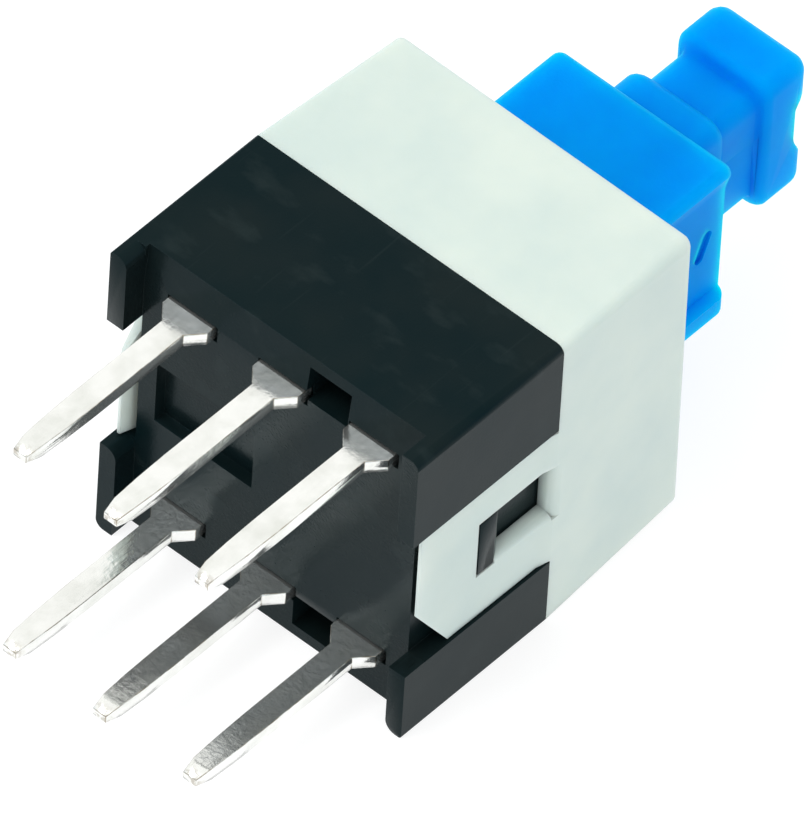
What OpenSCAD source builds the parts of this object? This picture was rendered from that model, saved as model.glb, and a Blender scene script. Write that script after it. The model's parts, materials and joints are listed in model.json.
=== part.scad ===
// Momentary push switch with two changeover poles and six blade terminals.
// X runs along the push axis, from the board seat at x = 0 to the button head.
// Z is up as the switch lies on one side, and Y is across its two latch sides.
// The latch sides repeat each other after half a turn about X.

/* [Body] */
// Width across the latch sides
body_w = 8.5; // [8.2:0.1:10]
// Height as it lies
body_h = 8.5; // [8.2:0.1:10]
// Board seat to the joint between base and shell
base_len = 4.5; // [4.2:0.1:5.5]
// Shell length from that joint to its front face
shell_len = 4.3; // [4:0.1:5.5]
// Radius of the two rounder long edges of base and shell, one above each latch
edge_r = 0.22; // [0.15:0.01:0.4]
// Radius of the two sharper long edges
tight_r = 0.08; // [0.05:0.01:0.15]
// Radius of the shell's front at the rounder long edges
front_r = 0.32; // [0.2:0.02:0.5]
// Radius of the shell's front at the sharper long edges
front_tight_r = 0.18; // [0.1:0.02:0.2]
// How far each side of the shell leans in over its length
shell_draft = 0.15; // [0:0.05:0.3]
// Thickness of the shell's side walls
shell_wall = 0.75; // [0.5:0.05:0.8]
// Thickness of the shell's front wall
front_wall = 1.0; // [0.6:0.1:1.4]

/* [Board side] */
// Height of the corner feet
foot_h = 0.6; // [0.3:0.1:1]
// Radius of the inner corners of the feet
foot_r = 0.28; // [0.1:0.02:0.4]
// How far the longer feet reach past the bottom of a latch channel
foot_reach = 0.21; // [0:0.01:0.3]
// Thickness of the base floor that holds the terminals
floor_t = 1.2; // [0.9:0.1:1.5]
// How far the band beside the upper row leans back
band_lean = 0.12; // [0:0.02:0.3]
// Width and height of the two core pockets between terminals
pocket_w = 1.15; // [0.8:0.05:1.2]
pocket_h = 0.9; // [0.6:0.05:1]
// Depth of the core pockets
pocket_d = 0.9; // [0.4:0.1:1]
// Size of the sunk panel in the middle of the board side
panel_w = 2.7; // [2:0.1:3]
panel_h = 1.75; // [1:0.05:2.2]
// Depth of the sunk panel
panel_d = 0.3; // [0.2:0.05:0.5]

/* [Latches] */
// Depth of the latch channels in the sides of the base
channel_d = 0.45; // [0.35:0.05:0.5]
// Top of the near channel, above the push axis
channel_top = 1.68; // [1.4:0.02:2]
// Bottom of the near channel, below the push axis
channel_bottom = 2.34; // [2.2:0.01:2.5]
// How much lower that bottom is at the joint
channel_fall = 0.06; // [0:0.02:0.2]
// Gap of a latch tab in its channel
tab_gap = 0.07; // [0.04:0.01:0.1]
// How far a tab's face lies in from the side of the body
tab_in = 0.08; // [0.02:0.01:0.12]
// Length of the lead-in behind the end of a tab
lead_len = 0.7; // [0.3:0.05:1]
// Board seat to the end of a latch tab
tab_end = 0.4; // [0.1:0.02:0.5]
// Slanted corner of the tab end, along X and along Z
tab_cut_x = 1.0; // [0.4:0.1:1.3]
tab_cut_z = 1.42; // [0.6:0.02:1.6]
// Board seat to the window in a tab
window_x = 2.2; // [1.9:0.05:2.2]
// Length of the window
window_len = 2.25; // [1.8:0.05:2.25]
// Height of the window
window_h = 1.65; // [1.2:0.05:1.8]
// Length of a snap hook along X, and of its flat part
hook_len = 1.0; // [0.8:0.05:1.2]
hook_flat = 0.48; // [0.2:0.02:0.6]
// Gap round a snap hook
hook_gap = 0.05; // [0.03:0.01:0.08]

/* [Terminals] */
// Side of the body to the middle of the nearest terminals
side_margin = 1.75; // [1.7:0.01:2]
// Top or bottom of the body to the middle of the nearest row
row_margin = 1.2; // [1.1:0.01:1.4]
// Length of a blade below the board seat
blade_len = 4.65; // [2.5:0.05:6]
// Blade width
blade_w = 0.6; // [0.4:0.05:0.8]
// Width of the shoulders where a blade meets the base
shoulder_w = 1.26; // [1:0.02:1.3]
// Length of the slanted shoulders
shoulder_len = 0.58; // [0.4:0.02:0.6]
// Sheet thickness of the terminals
blade_t = 0.35; // [0.25:0.05:0.4]
// Length of the tapered point
tip_len = 2.0; // [0.8:0.1:2.4]
// Width and thickness at the very tip
tip_w = 0.36; // [0.2:0.02:0.4]
tip_t = 0.2; // [0.1:0.02:0.24]
// Width of the contact pads inside
pad_w = 1.2; // [0.8:0.05:1.3]
// How far the pads stand out of the inner walls
pad_proud = 0.1; // [0.06:0.02:0.12]

/* [Plunger] */
// How far the plunger travels
travel = 2.2; // [1.5:0.1:2.4]
// Shell front to the front of the block
block_len = 3.3; // [2.8:0.1:4.5]
// Block width and height
block_w = 4.9; // [4:0.1:5.2]
block_h = 4.6; // [4:0.1:4.8]
// How far the block stands off the push axis, along Y
block_off = 0.08; // [0:0.02:0.1]
// Depth of the long channels in the sides of the block
groove_d = 0.25; // [0.1:0.05:0.3]
// Length of the step in front of the block
step_len = 1.0; // [0.6:0.1:1.4]
// Neck length between the step and the head
neck_len = 1.27; // [1:0.01:2]
// Head length
head_len = 1.39; // [1:0.01:1.8]
// Head width and height, shared by the step
head_w = 2.58; // [2.2:0.02:2.8]
head_h = 3.84; // [3.2:0.02:3.9]
// How far the neck is narrower than the head on each side, along Y and along Z
neck_in_y = 0.22; // [0.15:0.01:0.35]
neck_in_z = 0.33; // [0.15:0.01:0.4]
// Radius of the edges of step, neck and head
head_r = 0.4; // [0.2:0.02:0.5]
// Gap between the block and the opening of the shell
slide_gap = 0.08; // [0.05:0.01:0.12]

/* [Spring and contacts] */
// Spring wire diameter
wire_d = 0.3; // [0.2:0.02:0.34]
// Mean diameter of the spring
spring_d = 2.3; // [2:0.05:2.6]
// Number of turns of the spring
spring_turns = 7; // [5:1:8]
// Sheet thickness of the contact clips
clip_t = 0.18; // [0.12:0.02:0.2]
// Width of one contact finger
finger_w = 0.9; // [0.6:0.05:1]
// Gap between a finger's crest and the pads
finger_gap = 0.03; // [0.02:0.01:0.05]

/* [Hidden] */
$fn = 48;
eps = 0.01;
black = [0.13, 0.14, 0.15];
white = [0.86, 0.89, 0.87];
blue = [0.0, 0.55, 0.97];
tin = [0.82, 0.82, 0.8];
bronze = [0.78, 0.58, 0.34];
steel = [0.62, 0.64, 0.66];

// Planes along X
face_x = foot_h;
floor_x = face_x + floor_t;
joint_x = base_len;
front_x = base_len + shell_len;
inner_front_x = front_x - front_wall;

// Walls and rooms inside
side_y = body_w / 2;
side_z = body_h / 2;
channel_y = side_y - channel_d;
window_mid = (channel_top - channel_bottom) / 2 + 0.07;
window_end = window_x + window_len;
window_low = window_mid - window_h / 2;
room_y = channel_y - 0.45;
pitch = side_y - side_margin;
row_z = side_z - row_margin;
skin = 0.2;
seat_gap = 0.02;
room_z = row_z - blade_t / 2 - skin;
shell_room_y = side_y - shell_wall;
shell_room_z = side_z - shell_wall;
wall_gap = 0.08;
wall_top_z = shell_room_z - wall_gap;
foot_t = channel_d;

// Places of the contacts along X
pad_z = room_z - pad_proud + blade_t / 2;
pad_top_x = inner_front_x - 0.8;
bend_len = 0.3;
low_pad_x = floor_x + 0.8 + bend_len;
wall_x = pad_top_x + 0.2;
crest_x = pad_top_x - 0.9;
changeover_x = crest_x - travel / 2;
break_gap = 0.5;

// Plunger sections along X
carrier_play = 0.02;
carrier_back_x = floor_x + travel + 0.4;
carrier_front_x = inner_front_x - carrier_play;
carrier_y = room_y - 0.1;
block_x = front_x + block_len;
step_x = block_x + step_len;
head_back_x = step_x + neck_len;
head_x = head_back_x + head_len;
block_r = 0.25;
head_back_r = 0.22;
head_fillet_r = 0.14;
step_r = 0.34;
step_fillet_r = 0.16;
notch_d = 0.29;
notch_top = [1.05, 0.39];
notch_bottom = [-1.12, -0.72];
neck_relief_d = 0.06;
neck_relief_top = 0.35;

// Contact clips
clip_gap = 0.02;
clip_plate_len = 1.0;
crest_z = room_z - pad_proud - finger_gap;
finger_rise = 0.36;
clip_z = crest_z - finger_rise - clip_t;
carrier_z = clip_z - clip_gap;
finger_half = 0.6;
clip_back_x = crest_x - finger_half - clip_plate_len;
clip_w = 2 * pitch + finger_w;
peg_d = 0.5;
peg_gap = 0.03;
peg_y = pitch / 2;

// Spring room
post_d = spring_d - wire_d - 0.6;
spring_bore_d = spring_d + wire_d + 0.3;
spring_end_x = carrier_front_x - 0.9;
post_x = floor_x + 1.6;
spring_seat_gap = 0.02;

// Extrusions along each axis; the sketch's axes follow in the order Y Z, X Z and X Y
module along_x(x0, x1) {
    translate([x0, 0, 0]) rotate([90, 0, 90]) linear_extrude(x1 - x0) children();
}

module along_y(y0, y1) {
    translate([0, y1, 0]) rotate([90, 0, 0]) linear_extrude(y1 - y0) children();
}

module along_z(z0, z1) {
    translate([0, 0, z0]) linear_extrude(z1 - z0) children();
}

module span(x, y, z) {
    translate([x[0], y[0], z[0]]) cube([x[1] - x[0], y[1] - y[0], z[1] - z[0]]);
}

module on_both_latch_sides() {
    children();
    rotate([180, 0, 0]) children();
}

module rounded_section(w, h, r) {
    square([w - 2 * r, h], center = true);
    square([w, h - 2 * r], center = true);
    for (sx = [-1, 1], sy = [-1, 1]) translate([sx * (w / 2 - r), sy * (h / 2 - r)]) circle(r);
}

// Section of the body, rounder at the top of the near side and the bottom of the far side
module body_section() {
    square([body_w - 2 * edge_r, body_h], center = true);
    square([body_w, body_h - 2 * edge_r], center = true);
    for (s = [-1, 1]) {
        translate([-s * (side_y - edge_r), s * (side_z - edge_r)]) circle(edge_r);
        translate([s * (side_y - edge_r / 2), s * (side_z - edge_r / 2)])
            rotate(s > 0 ? 0 : 180) sharper_corner();
    }
}

module sharper_corner() {
    half = edge_r / 2;
    translate([-half, -half]) square([edge_r - tight_r, edge_r]);
    translate([-half, -half]) square([edge_r, edge_r - tight_r]);
    translate([half - tight_r, half - tight_r]) circle(tight_r);
}

// Points of an arc round [x, y], from angle a0 to a1
function arc(x, y, r, a0, a1, n = 8) =
    [for (i = [0:n]) let(a = a0 + (a1 - a0) * i / n) [x + r * cos(a), y + r * sin(a)]];

// A half outline above the X axis, closed with its mirror image
function mirrored(half) =
    concat(half, [for (i = [len(half) - 1:-1:0]) [half[i][0], -half[i][1]]]);

function reversed(list) = [for (i = [len(list) - 1:-1:0]) list[i]];

// Height of the bottom of the near latch channel at x
function channel_low(x) = -channel_bottom - channel_fall * x / joint_x;

// Terminals

// Outline of a stamped terminal, seen along Z; c grows it to the slot that it sits in
function terminal_outline(pad_x, end_x, c) = mirrored([
    [-blade_len, tip_w / 2 + c],
    [-blade_len + tip_len * 0.2, tip_w / 2 + (blade_w - tip_w) * 0.28 + c],
    [-blade_len + tip_len * 0.55, tip_w / 2 + (blade_w - tip_w) * 0.43 + c],
    [-blade_len + tip_len, blade_w / 2 + c],
    [face_x - shoulder_len, blade_w / 2 + c],
    [face_x - 0.2, shoulder_w / 2 + c],
    [face_x + 0.25 + c, shoulder_w / 2 + c],
    [face_x + 0.25 + c, shoulder_w / 2 - 0.12 + c],
    [floor_x - 0.3 + c, shoulder_w / 2 - 0.12 + c],
    [floor_x - 0.3 + c, blade_w / 2 + c],
    [pad_x - c, blade_w / 2 + c],
    [pad_x - c, pad_w / 2 + c],
    [end_x + c, pad_w / 2 + c]
]);

// Section of the same strip, seen along Y, with its bend towards the push axis
function terminal_section(pad_x, end_x, c) = let(h = blade_t / 2 + c) [
    [-blade_len, row_z + tip_t / 2 + c],
    [-blade_len + tip_len * 0.45, row_z + h],
    [pad_x - bend_len, row_z + h],
    [pad_x, pad_z + h],
    [end_x + c, pad_z + h],
    [end_x + c, pad_z - h],
    [pad_x, pad_z - h],
    [pad_x - bend_len, row_z - h],
    [-blade_len + tip_len * 0.45, row_z - h],
    [-blade_len, row_z - tip_t / 2 - c]
];

module terminal_strip(pad_x, end_x, c = 0) {
    intersection() {
        along_z(0, side_z) polygon(terminal_outline(pad_x, end_x, c));
        along_y(-pitch, pitch) polygon(terminal_section(pad_x, end_x, c));
    }
}

// The pad that the fingers rest on while the plunger is out
module closed_strip(c = 0) {
    translate([0, pitch, 0]) terminal_strip(changeover_x + break_gap / 2, pad_top_x, c);
}

// The pad that the fingers never leave
module common_strip(c = 0) {
    terminal_strip(low_pad_x, pad_top_x, c);
}

// The pad that the fingers reach when the plunger is pushed in
module open_strip(c = 0) {
    translate([0, -pitch, 0]) terminal_strip(low_pad_x, changeover_x - break_gap / 2, c);
}

module in_row(upper) {
    mirror([0, 0, upper ? 0 : 1]) children();
}

module terminal_row_slots() {
    closed_strip(seat_gap);
    common_strip(seat_gap);
    open_strip(seat_gap);
}

// Base

module base_body() {
    along_x(face_x, joint_x) body_section();
}

// A foot on the near side, with the inner corner at one end rounded
module foot(z_sharp, z_round) {
    inner_y = -side_y + foot_t;
    up = z_round > z_sharp;
    along_x(0, face_x + eps) polygon(concat(
        [[-side_y, z_round], [-side_y, z_sharp], [inner_y, z_sharp]],
        up ? arc(inner_y - foot_r, z_round - foot_r, foot_r, 0, 90)
           : arc(inner_y - foot_r, z_round + foot_r, foot_r, 0, -90)
    ));
}

module corner_feet() {
    intersection() {
        along_x(0, face_x + eps) body_section();
        on_both_latch_sides() {
            foot(side_z, channel_top);
            foot(foot_reach - channel_bottom, -side_z);
        }
    }
}

// The walls that hold the contact pads stand on inside the shell
module contact_walls() {
    for (s = [0, 1]) mirror([0, 0, s])
        span([floor_x, wall_x], [-room_y, room_y], [room_z, wall_top_z]);
}

module latch_channel() {
    along_y(-side_y - eps, -channel_y) polygon([
        [-eps, channel_low(0)],
        [-eps, channel_top],
        [joint_x + eps, channel_top],
        [joint_x + eps, channel_low(joint_x)]
    ]);
}

// A ramp on the +X side lets the tab ride over, and the square -X side holds it
module snap_hook() {
    x0 = window_x + hook_gap;
    rise = channel_d - tab_in;
    flat_x = x0 + hook_flat;
    z0 = window_low + hook_gap;
    z1 = window_mid + window_h / 2 - hook_gap;
    along_z(z0, z1) polygon(concat(
        [[x0, -channel_y + eps], [x0, -channel_y - rise]],
        [for (i = [0:6]) let(u = i / 6)
            [flat_x + u * (hook_len - hook_flat) * 0.8, -channel_y - rise * (1 - 0.9 * pow(u, 1.4))]],
        [[x0 + hook_len, -channel_y], [x0 + hook_len, -channel_y + eps]]
    ));
}

// Wedge that leans the band beside the upper row back by band_lean
module leaning_band() {
    band_z = row_z + blade_t / 2;
    along_y(-channel_y, channel_y) polygon([
        [face_x - eps, band_z],
        [face_x, band_z],
        [face_x + band_lean, side_z],
        [face_x + band_lean, side_z + eps],
        [face_x - eps, side_z + eps]
    ]);
}

module core_pockets() {
    for (s = [-1, 1])
        translate([face_x - eps, -pitch / 2 - pocket_w / 2, s * (row_z + 0.45) - pocket_h / 2])
            cube([pocket_d + eps, pocket_w, pocket_h]);
}

module sunk_panel() {
    panel_y = pitch / 4;
    span([face_x - eps, face_x + panel_d], [panel_y, panel_y + panel_w], [-0.75, -0.75 + panel_h]);
}

// Room above and at one end of the shoulders of each terminal, where the strip is pressed in
module shoulder_reliefs() {
    for (y = [-pitch, 0, pitch], s = [-1, 1])
        span([face_x - eps, face_x + 0.25],
             [y - shoulder_w / 2 - 0.1, y + shoulder_w / 2 + seat_gap],
             [s * row_z - blade_t / 2 - seat_gap, s * row_z + blade_t / 2 + 0.06]);
}

module base() {
    color(black) difference() {
        union() {
            difference() {
                base_body();
                span([floor_x, joint_x + eps], [-room_y, room_y], [-room_z, room_z]);
                on_both_latch_sides() latch_channel();
                leaning_band();
                core_pockets();
                sunk_panel();
            }
            corner_feet();
            contact_walls();
            on_both_latch_sides() snap_hook();
            translate([floor_x - eps, 0, 0]) rotate([0, 90, 0]) cylinder(d = post_d, h = post_x - floor_x + eps);
        }
        in_row(true) terminal_row_slots();
        in_row(false) terminal_row_slots();
        shoulder_reliefs();
    }
}

// Shell

module shell_body() {
    w1 = side_y - shell_draft;
    h1 = side_z - shell_draft;
    hull() for (sy = [-1, 1], sz = [-1, 1]) {
        r0 = sy * sz < 0 ? edge_r : tight_r;
        r1 = sy * sz < 0 ? front_r : front_tight_r;
        translate([joint_x, sy * (side_y - r0), sz * (side_z - r0)]) rotate([0, 90, 0])
            cylinder(r = r0, h = eps, $fn = 24);
        translate([front_x - r1, sy * (w1 - r1), sz * (h1 - r1)]) sphere(r1, $fn = 32);
    }
}

module latch_tab() {
    y0 = -side_y + tab_in;
    y1 = -channel_y - 0.04;
    top = channel_top - tab_gap;
    cut_x = tab_end + tab_cut_x;
    end_x = joint_x + 0.3;
    bottom = channel_low(cut_x) + tab_gap;
    bottom_end = channel_low(end_x) + tab_gap;
    intersection() {
        along_y(-side_y, y1) polygon([
            [tab_end, top],
            [tab_end, bottom + tab_cut_z],
            [cut_x, bottom],
            [end_x, bottom_end],
            [end_x, top]
        ]);
        along_z(bottom_end, top) polygon([
            [tab_end, y0 + 0.1],
            [tab_end, y0 + 0.03],
            [tab_end + 0.05, y0],
            [joint_x - 0.35, y0],
            [joint_x, -side_y + 0.005],
            [end_x, -side_y + 0.06],
            [end_x, y1],
            [tab_end + lead_len, y1]
        ]);
    }
}

// Window of a tab, with a soft edge towards the front of the switch
module tab_window() {
    y0 = -side_y + tab_in;
    soft_r = 0.2;
    span([window_x, window_end], [-side_y - 1, -channel_y + 0.2], [window_low, window_low + window_h]);
    along_z(window_low, window_low + window_h) polygon(concat(
        [[window_end - eps, y0 - 0.2], [window_end + soft_r, y0 - 0.2]],
        arc(window_end + soft_r, y0 + soft_r, soft_r, 270, 180, 5),
        [[window_end - eps, y0 + soft_r]]
    ));
}

// Soft sill in the lower edge of a window, from behind the hook to the window's end
module window_sill() {
    y1 = -channel_y - 0.04;
    deep = y1 + side_y - tab_in;
    along_x(window_x + hook_len + 2 * hook_gap, window_end + eps) polygon(concat(
        [[y1, window_low - eps]],
        [for (i = [0:6]) let(a = 15 * i) [y1 - deep * sin(a), window_low + 0.2 * cos(a)]],
        [[y1 - deep, window_low - eps]]
    ));
}

module hollow_shell() {
    opening_w = block_w + 2 * slide_gap;
    opening_h = block_h + 2 * slide_gap;
    difference() {
        shell_body();
        along_x(joint_x - eps, inner_front_x)
            square([2 * shell_room_y, 2 * shell_room_z], center = true);
        translate([0, block_off, 0]) along_x(inner_front_x - eps, front_x + 1)
            rounded_section(opening_w, opening_h, block_r + slide_gap);
    }
}

module shell() {
    color(white) union() {
        difference() {
            union() {
                hollow_shell();
                on_both_latch_sides() latch_tab();
            }
            on_both_latch_sides() tab_window();
        }
        on_both_latch_sides() window_sill();
    }
}

// Plunger

// Closed solid through a list of rings of points, all alike in number and order
module loft(rings) {
    n = len(rings[0]);
    last = len(rings) - 1;
    polyhedron(
        points = [for (ring = rings, p = ring) p],
        faces = concat(
            [[for (k = [0:n - 1]) k]],
            [for (i = [0:last - 1], k = [0:n - 1]) let(a = i * n + k, b = i * n + (k + 1) % n)
                each [[a, a + n, b + n], [a, b + n, b]]],
            [[for (k = [n - 1:-1:0]) last * n + k]]
        ),
        convexity = 6
    );
}

// Ring at x with half sizes hy and hz and corner radius r
function ring(x, hy, hz, r) = [
    for (q = [0:3], p = arc((q == 0 || q == 3 ? 1 : -1) * (hy - r), (q < 2 ? 1 : -1) * (hz - r),
                            r, 90 * q, 90 * q + 90, 5)) [x, p[0], p[1]]
];

// Half of an S-curve round x0 as [x, share of the way down], from a convex to a hollow radius
function s_curve(x0, r1, r2, depth) = let(turn = acos(1 - depth / (r1 + r2))) concat(
    [for (i = [0:5]) let(a = turn * i / 5)
        [x0 + r1 * (sin(a) - sin(turn)), r1 * (1 - cos(a)) / depth]],
    [for (i = [3:-1:0]) let(a = turn * i / 4)
        [x0 + r2 * (sin(turn) - sin(a)), 1 - r2 * (1 - cos(a)) / depth]]
);

// Ring of the step, neck and head: u is the share of the way into the neck
function spool_ring(x, u, inset) = ring(
    x, head_w / 2 - neck_in_y * u - inset, head_h / 2 - neck_in_z * u - inset, max(head_r - inset, 0.02)
);

// Step, neck and head in one piece, with a hollow across the front of the head
module spool() {
    depth = (neck_in_y + neck_in_z) / 2;
    down = s_curve(step_x, step_r, step_fillet_r, depth);
    up = s_curve(head_back_x, head_back_r, head_fillet_r, depth);
    difference() {
        loft(concat(
            [spool_ring(block_x - 0.5, 0, 0)],
            [for (p = down) spool_ring(p[0], p[1], 0)],
            [for (i = [len(up) - 1:-1:0]) spool_ring(2 * head_back_x - up[i][0], up[i][1], 0)],
            [for (i = [0:6]) spool_ring(head_x - head_r * (1 - sin(15 * i)), 0, head_r * (1 - cos(15 * i)))]
        ));
        along_y(-head_w, head_w) polygon(concat(notch_side(notch_top), reversed(notch_side(notch_bottom))));
        on_both_latch_sides() neck_relief();
    }
}

// Soft slope from the front of the head to the floor of its hollow, between two heights
function notch_side(z) = [for (i = [0:8]) let(u = i / 8)
    [head_x + eps - (notch_d + eps) * u * u * (3 - 2 * u), z[0] + (z[1] - z[0]) * u]];

// The lower part of the neck's near side, and the upper part of its far side, lie deeper
module neck_relief() {
    neck_y = head_w / 2 - neck_in_y;
    along_x(step_x + 0.2, head_back_x) polygon([
        [-neck_y - 0.05, neck_relief_top + 0.05],
        [-neck_y + neck_relief_d, neck_relief_top - 0.08],
        [-neck_y + neck_relief_d, -head_h],
        [-neck_y - 0.05, -head_h]
    ]);
}

// Channel along a side of the block, below a thin top flange and above a bottom one
module block_channel() {
    top = block_h / 2 - 0.2;
    low = -block_h / 2 + 0.6;
    side = -block_w / 2;
    along_x(carrier_front_x + front_wall + 0.2, block_x + 1) polygon([
        [side - 1, top],
        [side, top],
        [side + groove_d * 0.6, top - 0.3],
        [side + groove_d, top - 0.65],
        [side + groove_d, low + 0.12],
        [side, low],
        [side - 1, low]
    ]);
}

module block() {
    translate([0, block_off, 0]) difference() {
        hull() for (sy = [-1, 1], sz = [-1, 1]) {
            y = sy * (block_w / 2 - block_r);
            z = sz * (block_h / 2 - block_r);
            translate([carrier_front_x - 0.5, y, z]) rotate([0, 90, 0])
                cylinder(r = block_r, h = eps, $fn = 24);
            translate([block_x - block_r, y, z]) sphere(block_r, $fn = 24);
        }
        on_both_latch_sides() block_channel();
        on_both_latch_sides() cam_pocket();
    }
}

// Small slanted pocket in the floor of a block channel
module cam_pocket() {
    floor_y = -block_w / 2 + groove_d;
    along_y(floor_y - eps, floor_y + 0.2) hull() {
        translate([block_x - 0.48, 0.3]) circle(0.14, $fn = 20);
        translate([block_x - 0.7, -0.25]) circle(0.14, $fn = 20);
    }
}

module carrier() {
    along_x(carrier_back_x, carrier_front_x)
        square([2 * carrier_y, 2 * carrier_z], center = true);
}

module clip_pegs(d, h) {
    for (y = [-peg_y, peg_y])
        translate([clip_back_x + clip_plate_len / 2, y, carrier_z - eps]) cylinder(d = d, h = h);
}

module plunger() {
    color(blue) difference() {
        union() {
            carrier();
            block();
            spool();
            for (s = [0, 1]) mirror([0, 0, s]) clip_pegs(peg_d, clip_gap + clip_t + 0.12);
        }
        translate([carrier_back_x - eps, 0, 0]) rotate([0, 90, 0])
            cylinder(d = spring_bore_d, h = spring_end_x - carrier_back_x + eps);
    }
}

// Return spring

// Axial place along the wire: a closed turn at each end and an even pitch between
function coil_x(turn) =
    let(x0 = floor_x + spring_seat_gap + wire_d / 2,
        x1 = spring_end_x - spring_seat_gap - wire_d / 2,
        rise = wire_d * 1.02,
        free = x1 - x0 - 2 * rise)
    turn < 1 ? x0 + rise * turn
    : turn > spring_turns - 1 ? x1 - rise * (spring_turns - turn)
    : x0 + rise + free * (turn - 1) / (spring_turns - 2);

module return_spring() {
    steps = 20;
    sides = 8;
    count = steps * spring_turns;
    pts = [for (i = [0:count]) let(a = 360 * i / steps, x = coil_x(i / steps))
           for (k = [0:sides - 1]) let(b = 360 * k / sides, r = spring_d / 2 + wire_d / 2 * cos(b))
           [x + wire_d / 2 * sin(b), r * cos(a), r * sin(a)]];
    walls = [for (i = [0:count - 1], k = [0:sides - 1]) let(n = (k + 1) % sides)
             [i * sides + k, i * sides + n, (i + 1) * sides + n, (i + 1) * sides + k]];
    first = [for (k = [sides - 1:-1:0]) k];
    last = [for (k = [0:sides - 1]) count * sides + k];
    color(steel) polyhedron(points = pts, faces = concat([first], walls, [last]), convexity = 10);
}

// Contact clips

// Half-sine bow of a finger, from the plate to its crest and down again
function bow(lift, n = 14) = [for (i = [0:n]) let(u = i / n)
    [crest_x - finger_half + 2 * finger_half * u, clip_z + lift + finger_rise * sin(180 * u)]];

module contact_clip() {
    difference() {
        union() {
            along_y(-clip_w / 2, clip_w / 2) polygon([
                [clip_back_x, clip_z],
                [clip_back_x + clip_plate_len + eps, clip_z],
                [clip_back_x + clip_plate_len + eps, clip_z + clip_t],
                [clip_back_x, clip_z + clip_t]
            ]);
            for (y = [-pitch, 0, pitch])
                along_y(y - finger_w / 2, y + finger_w / 2) polygon(concat(bow(0), reversed(bow(clip_t))));
        }
        clip_pegs(peg_d + 2 * peg_gap, 1);
    }
}

base();
shell();
plunger();
return_spring();
color(bronze) in_row(true) contact_clip();  // contact_clip_upper
color(bronze) in_row(false) contact_clip();  // contact_clip_lower
color(tin) in_row(true) closed_strip();  // terminal_upper_closed
color(tin) in_row(true) common_strip();  // terminal_upper_common
color(tin) in_row(true) open_strip();  // terminal_upper_open
color(tin) in_row(false) closed_strip();  // terminal_lower_closed
color(tin) in_row(false) common_strip();  // terminal_lower_common
color(tin) in_row(false) open_strip();  // terminal_lower_open
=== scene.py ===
# Looks of a small momentary push switch, lying on one side on a white table.
import json
import math

import bpy
import bmesh
from mathutils import Matrix, Vector


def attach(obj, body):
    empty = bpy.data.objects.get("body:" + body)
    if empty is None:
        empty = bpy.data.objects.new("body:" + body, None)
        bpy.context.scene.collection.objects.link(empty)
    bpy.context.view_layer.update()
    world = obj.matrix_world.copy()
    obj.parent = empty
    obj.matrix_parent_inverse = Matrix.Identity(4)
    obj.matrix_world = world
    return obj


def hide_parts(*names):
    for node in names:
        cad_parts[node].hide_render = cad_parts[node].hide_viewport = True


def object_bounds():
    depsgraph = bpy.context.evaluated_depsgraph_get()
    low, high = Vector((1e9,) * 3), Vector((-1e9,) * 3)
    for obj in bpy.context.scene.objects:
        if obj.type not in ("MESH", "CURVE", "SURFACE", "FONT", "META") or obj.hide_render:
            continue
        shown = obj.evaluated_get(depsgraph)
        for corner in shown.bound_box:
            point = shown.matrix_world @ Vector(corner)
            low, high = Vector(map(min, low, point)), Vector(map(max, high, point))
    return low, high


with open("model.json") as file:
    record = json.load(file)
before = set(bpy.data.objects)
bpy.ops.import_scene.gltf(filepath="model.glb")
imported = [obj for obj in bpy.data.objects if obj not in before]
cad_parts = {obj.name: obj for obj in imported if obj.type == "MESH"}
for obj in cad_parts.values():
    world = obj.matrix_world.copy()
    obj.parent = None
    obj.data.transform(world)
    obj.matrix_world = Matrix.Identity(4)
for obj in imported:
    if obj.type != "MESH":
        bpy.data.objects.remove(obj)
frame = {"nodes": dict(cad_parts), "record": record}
cad_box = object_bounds()

MM = 0.001

# Camera, as solved from the photograph's 811 x 818 frame
IMAGE_W = 811
FOCAL_PX = 37367.0
SENSOR_MM = 36.0
CAMERA_AT = Vector((-394.13, -322.92, 575.99)) * MM
CAMERA_RIGHT = Vector((0.66568, -0.74499, 0.04318))
CAMERA_DOWN = Vector((-0.53867, -0.51976, -0.66308))

# Brightness of the table and of the soft light, and the sky's colour overhead and low down
FLOOR_GLOW = 0.8
SKY_HIGH = (0.98, 0.98, 0.96)
SKY_LOW = (0.52, 0.73, 0.94)
KEY_WATTS = 0.9


def new_material(name):
    mat = bpy.data.materials.new(name)
    mat.use_nodes = True
    nodes = mat.node_tree.nodes
    links = mat.node_tree.links
    return mat, nodes, links, nodes["Principled BSDF"]


def noise(nodes, links, coords, scale, detail=4.0, stretch=(1, 1, 1), turn=(0, 0, 0)):
    mapping = nodes.new("ShaderNodeMapping")
    mapping.inputs["Scale"].default_value = stretch
    mapping.inputs["Rotation"].default_value = turn
    links.new(coords, mapping.inputs["Vector"])
    tex = nodes.new("ShaderNodeTexNoise")
    tex.inputs["Scale"].default_value = scale
    tex.inputs["Detail"].default_value = detail
    links.new(mapping.outputs["Vector"], tex.inputs["Vector"])
    return tex.outputs["Fac"]


def ramp(nodes, links, value, stops):
    node = nodes.new("ShaderNodeValToRGB")
    links.new(value, node.inputs["Fac"])
    points = node.color_ramp.elements
    while len(points) < len(stops):
        points.new(0.5)
    for point, (place, color) in zip(points, stops):
        point.position = place
        point.color = (*color, 1) if len(color) == 3 else color
    return node.outputs["Color"]


def to_range(nodes, links, value, low, high, start=0.3, end=0.7):
    node = nodes.new("ShaderNodeMapRange")
    node.inputs["From Min"].default_value = start
    node.inputs["From Max"].default_value = end
    node.inputs["To Min"].default_value = low
    node.inputs["To Max"].default_value = high
    links.new(value, node.inputs["Value"])
    return node.outputs["Result"]


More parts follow.
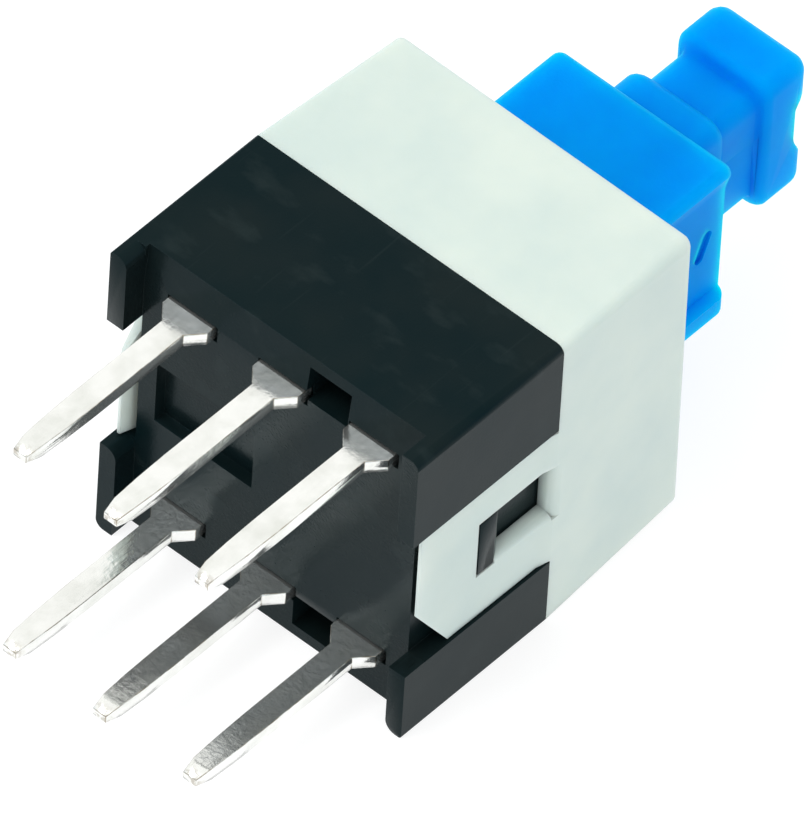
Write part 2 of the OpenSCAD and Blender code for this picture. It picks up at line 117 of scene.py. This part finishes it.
def bump(nodes, links, height, depth, strength=1.0, normal=None):
    node = nodes.new("ShaderNodeBump")
    node.inputs["Distance"].default_value = depth
    node.inputs["Strength"].default_value = strength
    links.new(height, node.inputs["Height"])
    if normal is not None:
        links.new(normal, node.inputs["Normal"])
    return node.outputs["Normal"]


def mixed(nodes, links, factor, first, second, blend="MIX"):
    node = nodes.new("ShaderNodeMix")
    node.data_type = "RGBA"
    node.blend_type = blend
    links.new(factor, node.inputs["Factor"])
    for name, value in (("A", first), ("B", second)):
        socket = next(i for i in node.inputs if i.name == name and i.type == "RGBA")
        if isinstance(value, tuple):
            socket.default_value = (*value, 1)
        else:
            links.new(value, socket)
    return next(o for o in node.outputs if o.type == "RGBA")


def moulded(name, dark, light, rough, ior, grain_depth, scatter=None, tint=None, gloss=0.5, scuff=None, painted_crease_shade=None):
    """A moulded plastic: cloudy colour, a satin grain, faint flow marks, scuffs and painted shade in the creases
    (colour darkened where ambient occlusion is strong).
    """
    mat, nodes, links, shader = new_material(name)
    coords = nodes.new("ShaderNodeTexCoord").outputs["Object"]
    clouds = noise(nodes, links, coords, 420, 3)
    color = ramp(nodes, links, clouds, [(0.35, dark), (0.65, light)])
    if scuff:
        rubs = noise(nodes, links, coords, 1500, 6, (1, 0.5, 0.5))
        color = mixed(nodes, links, to_range(nodes, links, rubs, 0, 0.6, 0.58, 0.72), color, scuff)
        for turn in SCRATCH_TURNS:
            lines = noise(nodes, links, coords, 9000, 2, (0.04, 1, 1), turn)
            color = mixed(nodes, links, to_range(nodes, links, lines, 0, 0.3, 0.68, 0.76), color, scuff)
    # Painted shade: the colour darkens towards the given colour where ambient occlusion finds creases and corners.
    if painted_crease_shade:
        shade = nodes.new("ShaderNodeAmbientOcclusion")
        shade.inputs["Distance"].default_value = 0.45 * MM
        shade.samples = 12
        depth = to_range(nodes, links, shade.outputs["AO"], 1, 0, 0.4, 0.86)
        color = mixed(nodes, links, depth, color, painted_crease_shade)
    links.new(color, shader.inputs["Base Color"])
    smears = noise(nodes, links, coords, 900, 5, (0.35, 1, 1))
    links.new(to_range(nodes, links, smears, rough[0], rough[1]), shader.inputs["Roughness"])
    grain = noise(nodes, links, coords, 16000, 2)
    waves = noise(nodes, links, coords, 1200, 2)
    first = bump(nodes, links, grain, grain_depth)
    links.new(bump(nodes, links, waves, grain_depth * 2, 0.6, first), shader.inputs["Normal"])
    shader.inputs["IOR"].default_value = ior
    shader.inputs["Specular IOR Level"].default_value = gloss
    if tint:
        shader.inputs["Specular Tint"].default_value = (*tint, 1)
    if scatter:
        weight, scale, radius = scatter
        shader.inputs["Subsurface Weight"].default_value = weight
        shader.inputs["Subsurface Scale"].default_value = scale * MM
        shader.inputs["Subsurface Radius"].default_value = radius
    return mat


def plated(name, dull, bright, rough, metal=1.0, tarnish=None, bare_tip=False):
    """Tin-plated strip: soft clouds in the plating, fine scratches along the blade and brown tarnish."""
    mat, nodes, links, shader = new_material(name)
    coords = nodes.new("ShaderNodeTexCoord").outputs["Object"]
    clouds = noise(nodes, links, coords, 1400, 5)
    color = ramp(nodes, links, clouds, [(0.3, dull), (0.6, bright)])
    if tarnish:
        stains = noise(nodes, links, coords, 3200, 6)
        color = mixed(nodes, links, to_range(nodes, links, stains, 0, 0.85, *tarnish), color, BARE_BRONZE)
    if bare_tip:
        split = nodes.new("ShaderNodeSeparateXYZ")
        links.new(coords, split.inputs["Vector"])
        near_tip = to_range(nodes, links, split.outputs["X"], 0.6, 0, TIP_END, TIP_END + 0.3 * MM)
        flecks = to_range(nodes, links, noise(nodes, links, coords, 5600, 5), 0, 1, 0.48, 0.6)
        both = nodes.new("ShaderNodeMath")
        both.operation = "MULTIPLY"
        links.new(near_tip, both.inputs[0])
        links.new(flecks, both.inputs[1])
        color = mixed(nodes, links, both.outputs["Value"], color, BARE_BRONZE)
    links.new(color, shader.inputs["Base Color"])
    links.new(to_range(nodes, links, clouds, rough[1], rough[0]), shader.inputs["Roughness"])
    scratches = noise(nodes, links, coords, 9000, 3, (0.08, 1, 1))
    pits = noise(nodes, links, coords, 5200, 4)
    first = bump(nodes, links, scratches, 0.000003)
    links.new(bump(nodes, links, pits, 0.000006, 0.8, first), shader.inputs["Normal"])
    shader.inputs["Metallic"].default_value = metal
    return mat


# Directions of the scratches, as turns of the pattern in radians
SCRATCH_TURNS = ((0, 0.4, 0.9), (0, 1.2, -0.5))
# Bare metal where the plating is cut or worn, and the outer end of the terminals
BARE_BRONZE = (0.34, 0.28, 0.2)
TIP_END = cad_box[0][0]
TEAL = (0.4, 0.84, 1.0)
BLACK = moulded("base_plastic", (0.003, 0.0085, 0.0095), (0.007, 0.0115, 0.0115), (0.17, 0.28), 1.19,
                0.000003, tint=TEAL, scuff=(0.014, 0.021, 0.021))
# Base edges: a lighter copy of the black plastic with scuffs, partly real wear and partly a painted highlight along
# the edges.
BLACK_EDGE_WORN_AND_LIT = moulded("base_edge_worn_and_lit", (0.006, 0.012, 0.013), (0.016, 0.02, 0.019), (0.22, 0.34), 1.24,
                     0.000002, tint=TEAL, scuff=(0.07, 0.072, 0.066))
NYLON = (0.4, 0.6, (1.0, 0.9, 0.8))
# The shell's last colour is painted shade in its creases.
WHITE = moulded("shell_plastic", (0.565, 0.65, 0.605), (0.63, 0.7, 0.635), (0.38, 0.5), 1.4,
                0.000003, NYLON, painted_crease_shade=(0.42, 0.46, 0.43))
# Shell edges: a lighter copy of the shell plastic, a painted highlight along the edges.
WHITE_EDGE_HIGHLIGHT = moulded("shell_edge_highlight", (0.6, 0.68, 0.64), (0.67, 0.73, 0.67), (0.34, 0.42), 1.4,
                     0.000002, NYLON)
BLUE_TINT = (0.0, 0.55, 1.0)
BLUE_GLOW = (0.9, 3.5, (0.1, 0.7, 1.0))
# The plunger's last colour is painted shade in its creases.
BLUE = moulded("plunger_plastic", (0.0, 0.215, 0.63), (0.0, 0.255, 0.69), (0.42, 0.54), 1.15,
               0.000003, BLUE_GLOW, BLUE_TINT, 0.3, painted_crease_shade=(0.0, 0.09, 0.46))
# Plunger edges: a lighter copy of the blue plastic, a painted highlight along the edges.
BLUE_EDGE_HIGHLIGHT = moulded("plunger_edge_highlight", (0.0, 0.24, 0.7), (0.0, 0.28, 0.76), (0.38, 0.46), 1.2,
                    0.000002, BLUE_GLOW, BLUE_TINT, 0.3)
TIN = plated("terminal_tin", (0.84, 0.85, 0.81), (0.98, 0.985, 0.96), (0.1, 0.2), 0.92, bare_tip=True)
TIN_EDGE = plated("terminal_edge", (0.6, 0.58, 0.52), (0.9, 0.9, 0.86), (0.18, 0.3), 0.92, (0.42, 0.6), True)
BRONZE = plated("contact_bronze", (0.55, 0.36, 0.18), (0.72, 0.5, 0.26), (0.25, 0.35))
STEEL = plated("spring_steel", (0.36, 0.37, 0.38), (0.56, 0.57, 0.59), (0.22, 0.34))


# Small forms that the solids lack: each moves the corners of a copied piece, in millimetres.
# The far latch side repeats the near one after half a turn, so its heights change sign.

def base_forms(x, y, z):
    """The near lower foot ends level with its channel, and a hook's ramp starts above the sill."""
    if x < 0.61 and y < -3.79 and -2.2 < z < -2.1:
        z = -2.34
    turned = z if y < 0 else -z
    if 2.75 < x < 3.3 and abs(y) > 3.79 and abs(turned + 1.035) < 0.01:
        z += 0.2 if y < 0 else -0.2
    return x, y, z


def shell_forms(x, y, z):
    """The sill starts right behind the hook, the window ends in a smooth flare, and the tab fits closely."""
    near = y < 0
    turned = z if near else -z
    deep = abs(y)
    if 3.25 < x < 3.35 and deep > 3.8:
        x = 2.78
    if 4.499 < x < 4.511 and deep > 4.244 and abs(turned) < 2.5:
        deep = 4.25
    elif 4.44 < x < 4.66 and 3.96 < deep < 4.26 and abs(turned + 0.26) < 0.83:
        if x > 4.645:
            x, deep = 4.72, 4.2424
        else:
            x = 4.45 + (x - 4.45) * 1.35
            deep = 3.97 + (deep - 3.97) * 1.37
    if x < 4.9 and deep > 3.8 and -2.36 < turned < -2.2:
        turned -= 0.04
    return x, -deep if near else deep, turned if near else -turned


def plunger_forms(x, y, z):
    """The slanted pockets of the block are shallower, and the hollow beside the neck runs out at the head."""
    if 11.2 < x < 11.9 and abs(z) < 0.5:
        if -1.95 < y < -1.9:
            y = -2.03
        elif 2.06 < y < 2.1:
            y = 2.19
    if abs(x - 14.37) < 0.01 and 1.0 < abs(y) < 1.02 and abs(z) < 0.5:
        x = 14.234
        y = math.copysign(1.068, y)
    return x, y, z


def terminal_forms(x, y, z):
    """A blade keeps its thickness almost to its tip."""
    middle = 3.05 if z > 0 else -3.05
    if -4.6 < x < -4.2:
        z = middle + (0.175 if z > middle else -0.175)
    return x, y, z


FORMS = {"base": base_forms, "shell": shell_forms, "plunger": plunger_forms}


def cut_hollow(piece):
    """Cut the hollow across the front of the head deeper, with a soft slope at its top and bottom."""
    head_end = 15.76
    depth = 0.45
    slopes = ((1.2, 0.55), (-0.25, -1.28))
    steps = 10
    rim = []
    for index, (start, end) in enumerate(slopes):
        for step in range(steps + 1):
            part = step / steps
            share = part if index == 0 else 1 - part
            rim.append((head_end + 0.01 - (depth + 0.01) * share * share * (3 - 2 * share),
                        start + (end - start) * part))
    rim += [(head_end + 1, slopes[1][1]), (head_end + 1, slopes[0][0])]
    work = bmesh.new()
    ends = [[work.verts.new(Vector((x, y, z)) * MM) for x, z in rim] for y in (-3, 3)]
    work.faces.new(ends[0])
    work.faces.new(ends[1][::-1])
    for i in range(len(rim)):
        j = (i + 1) % len(rim)
        work.faces.new((ends[0][j], ends[0][i], ends[1][i], ends[1][j]))
    bmesh.ops.recalc_face_normals(work, faces=work.faces)
    mesh = bpy.data.meshes.new("hollow_cutter")
    work.to_mesh(mesh)
    work.free()
    cutter = bpy.data.objects.new("hollow_cutter", mesh)
    bpy.context.scene.collection.objects.link(cutter)
    cut = piece.modifiers.new("hollow", "BOOLEAN")
    cut.operation = "DIFFERENCE"
    cut.object = cutter
    with bpy.context.temp_override(object=piece, active_object=piece, selected_objects=[piece]):
        bpy.ops.object.modifier_apply(modifier="hollow")
    bpy.data.objects.remove(cutter)
    bpy.data.meshes.remove(mesh)


def softened(node, face_mat, edge_mat, width, segments=2, angle=32, weight=80):
    """A copy of a CAD piece with its sharp edges broken by a small radius; the bevel faces take the edge material,
    on the plastics a lighter copy of the face material that paints a highlight along the edges (with scuffs on the
    base), on the terminals a darker tarnished finish.
    """
    mesh = frame["nodes"][node].data.copy()
    piece = bpy.data.objects.new(node + "_finish", mesh)
    bpy.context.scene.collection.objects.link(piece)
    work = bmesh.new()
    work.from_mesh(mesh)
    form = FORMS.get(node, terminal_forms)
    for corner in work.verts:
        corner.co = Vector(form(*(corner.co / MM))) * MM
    bmesh.ops.remove_doubles(work, verts=work.verts, dist=0.000001)
    bmesh.ops.dissolve_degenerate(work, edges=work.edges, dist=0.000001)
    bmesh.ops.dissolve_limit(work, angle_limit=math.radians(0.5), verts=work.verts, edges=work.edges)
    for face in work.faces:
        face.smooth = True
        face.material_index = 0
    weight_layer = work.edges.layers.float.new("bevel_weight_edge")
    for edge in work.edges:
        if edge.calc_face_angle(0) > math.radians(angle):
            edge[weight_layer] = 1
    work.to_mesh(mesh)
    work.free()
    mesh.materials.clear()
    mesh.materials.append(face_mat)
    mesh.materials.append(edge_mat)
    if node == "plunger":
        cut_hollow(piece)
    bevel = piece.modifiers.new("edges", "BEVEL")
    bevel.width = width
    bevel.segments = segments
    bevel.limit_method = "WEIGHT"
    # The bevel faces take the edge material: on the plastics a painted highlight along the edges.
    bevel.material = 1
    bevel.use_clamp_overlap = True
    weighted = piece.modifiers.new("normals", "WEIGHTED_NORMAL")
    weighted.mode = "FACE_AREA"
    weighted.weight = weight
    weighted.keep_sharp = False
    body = next(b for b, members in frame["record"]["behaviour"]["bodies"].items() if node in members)
    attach(piece, body)
    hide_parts(node)
    return piece


def dress_nodes():
    softened("base", BLACK, BLACK_EDGE_WORN_AND_LIT, 0.04 * MM)
    softened("shell", WHITE, WHITE_EDGE_HIGHLIGHT, 0.06 * MM, 3)
    softened("plunger", BLUE, BLUE_EDGE_HIGHLIGHT, 0.08 * MM, 3, weight=50)
    for name in frame["nodes"]:
        if name.startswith("terminal"):
            softened(name, TIN, TIN_EDGE, 0.015 * MM, 1, angle=12)
    for name, mat in (("return_spring", STEEL), ("contact_clip_upper", BRONZE), ("contact_clip_lower", BRONZE)):
        mesh = frame["nodes"][name].data
        mesh.materials.clear()
        mesh.materials.append(mat)


def floor():
    low = cad_box[0]
    size = 3.0
    bpy.ops.mesh.primitive_plane_add(size=size, location=(0, 0, low[2]))
    plane = bpy.context.object
    plane.name = "table"
    mat, nodes, links, shader = new_material("table_white")
    shader.inputs["Base Color"].default_value = (0.28, 0.28, 0.28, 1)
    shader.inputs["Roughness"].default_value = 0.9
    shader.inputs["Specular IOR Level"].default_value = 0.1
    shader.inputs["Emission Color"].default_value = (1, 1, 1, 1)
    shader.inputs["Emission Strength"].default_value = FLOOR_GLOW
    plane.data.materials.append(mat)


def soft_light(name, at, target, size, watts):
    data = bpy.data.lights.new(name, "AREA")
    data.shape = "SQUARE"
    data.size = size
    data.energy = watts
    lamp = bpy.data.objects.new(name, data)
    lamp.location = at
    lamp.rotation_euler = (Vector(target) - Vector(at)).to_track_quat("-Z", "Y").to_euler()
    bpy.context.scene.collection.objects.link(lamp)
    return lamp


def lights():
    world = bpy.data.worlds.new("sky")
    bpy.context.scene.world = world
    world.use_nodes = True
    nodes = world.node_tree.nodes
    links = world.node_tree.links
    split = nodes.new("ShaderNodeSeparateXYZ")
    links.new(nodes.new("ShaderNodeTexCoord").outputs["Generated"], split.inputs["Vector"])
    sky = ramp(nodes, links, split.outputs["Z"], [(0.0, SKY_LOW), (0.6, SKY_HIGH)])
    links.new(sky, nodes["Background"].inputs["Color"])
    soft_light("key", (-0.16, 0.12, 0.42), (0, 0, 0), 0.2, KEY_WATTS)


def camera():
    data = bpy.data.cameras.new("camera")
    data.sensor_fit = "HORIZONTAL"
    data.sensor_width = SENSOR_MM
    data.lens = FOCAL_PX * SENSOR_MM / IMAGE_W
    data.clip_start = 0.01
    data.clip_end = 10
    eye = bpy.data.objects.new("camera", data)
    right = CAMERA_RIGHT.normalized()
    up = (-CAMERA_DOWN).normalized()
    back = right.cross(up)
    eye.matrix_world = Matrix.Translation(CAMERA_AT) @ Matrix((right, up, back)).transposed().to_4x4()
    bpy.context.scene.collection.objects.link(eye)
    bpy.context.scene.camera = eye


camera()
lights()
floor()
dress_nodes()

bpy.context.scene.view_settings.view_transform = "Standard"
